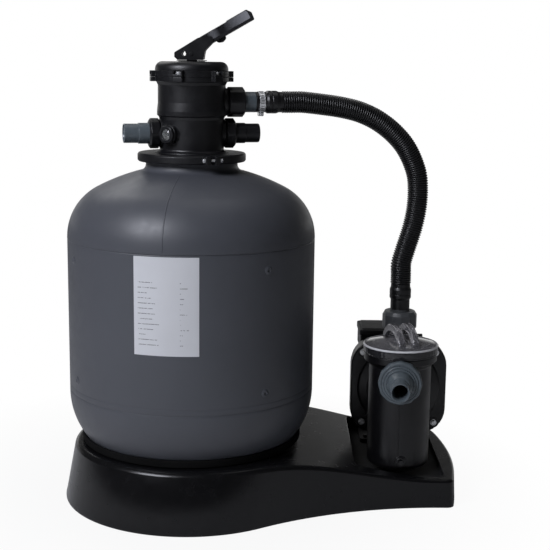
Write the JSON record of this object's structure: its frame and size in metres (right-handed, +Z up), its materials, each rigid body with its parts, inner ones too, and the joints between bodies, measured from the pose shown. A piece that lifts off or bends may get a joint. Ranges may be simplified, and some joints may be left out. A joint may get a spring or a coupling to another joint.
{
  "type": "pool sand filter set",
  "caption": "Sand filter tank with a top selector valve, joined by a ribbed hose to a strainer pump on one moulded plinth.",
  "frame": {"origin": "on the floor under the tank's axis, at the middle of the plinth's post foot", "axes": "+X towards the pump, +Y away from the front with the label, +Z up along the tank's axis"},
  "size_m": [0.8158, 0.561, 0.9846],
  "materials": {
    "plinth_black": "glossy moulded",
    "tank_grey": "satin blow-moulded",
    "label_white": "matte film",
    "black_plastic": "satin moulded",
    "motor_black": "satin paint on aluminium",
    "pvc_grey": "satin pipe plastic",
    "steel": "bright steel",
    "rubber": "matte",
    "clear": "clear smoke-grey plastic"
  },
  "bodies": {
    "set": {"base_plinth": "plinth_black", "tank_foot_ring": "plinth_black", "tank_shell": "tank_grey", "tank_label": "label_white", "tank_drain_plug": "black_plastic", "neck_gasket": "rubber", "neck_clamp_front": "black_plastic", "neck_clamp_rear": "black_plastic", "clamp_bolts": "steel", "valve_body": "black_plastic", "spider_gasket": "rubber", "cover_seals": "rubber", "valve_cover": "black_plastic", "cover_screws": "steel", "sight_glass": "clear", "sight_glass_ring": "black_plastic", "pump_port_nut": "black_plastic", "pump_port_tail": "pvc_grey", "lower_port_nuts": "black_plastic", "return_tail": "black_plastic", "waste_tail": "pvc_grey", "flat_seals": "rubber", "standpipe": "pvc_grey", "lateral_hub": "black_plastic", "laterals": "pvc_grey", "rotor_spring": "steel", "hose_cuff_valve": "black_plastic", "hose": "black_plastic", "hose_cuff_pump": "black_plastic", "hose_clamp": "steel", "discharge_nut": "black_plastic", "discharge_tail": "pvc_grey", "pump_body": "black_plastic", "strainer_basket": "pvc_grey", "pump_drain_plug": "black_plastic", "suction_nut": "pvc_grey", "suction_tail": "pvc_grey", "seal_plate": "black_plastic", "casing_bolts": "steel", "mechanical_seal": "rubber", "motor_frame": "motor_black", "stator": "steel", "motor_bearings": "steel", "rear_shield": "motor_black", "fan_cover": "black_plastic", "terminal_box": "black_plastic", "terminal_box_lid": "black_plastic", "cable_gland": "black_plastic", "pump_foot": "black_plastic", "foot_screws": "steel"},
    "selector": {"handle_washer": "black_plastic"},
    "rotor_stem": {"rotor": "black_plastic", "handle_pin": "steel"},
    "lever": {"handle": "black_plastic"},
    "lid_seat": {"lid_seal": "rubber"},
    "lid": {"strainer_lid": "clear"},
    "shaft": {"motor_shaft": "steel", "motor_rotor": "steel", "impeller": "black_plastic", "motor_fan": "black_plastic"}
  },
  "joints": [
    {"name": "selector_turn", "type": "hinge", "parent": "set", "child": "selector", "pos_m": [0, 0, 0.89802], "axis": [0, 0, 1], "continuous": true},
    {"name": "rotor_lift", "type": "slide", "parent": "selector", "child": "rotor_stem", "axis": [0, 0, 1], "range_m": [0, 0.007], "deforming": ["rotor_spring"]},
    {"name": "handle_press", "type": "hinge", "parent": "rotor_stem", "child": "lever", "pos_m": [0, 0, 0.89802], "axis": [0, 1, 0], "range_deg": [0, 22], "stiffness_Nm_per_rad": 4, "springref_deg": -17.19},
    {"name": "lid_lift", "type": "slide", "parent": "set", "child": "lid_seat", "axis": [0, 0, 1], "range_m": [0, 0.008]},
    {"name": "lid_turn", "type": "hinge", "parent": "lid_seat", "child": "lid", "pos_m": [0.431, -0.008, 0.314], "axis": [0, 0, 1], "range_deg": [0, 360]},
    {"name": "shaft_spin", "type": "hinge", "parent": "set", "child": "shaft", "pos_m": [0.44, 0.2, 0.195], "axis": [0, 1, 0], "continuous": true}
  ],
  "couplings": [
    {"joint": "rotor_lift", "follows": "handle_press", "m_per_rad": 0.01823},
    {"joint": "lid_lift", "follows": "lid_turn", "m_per_rad": 0.0012732}
  ]
}
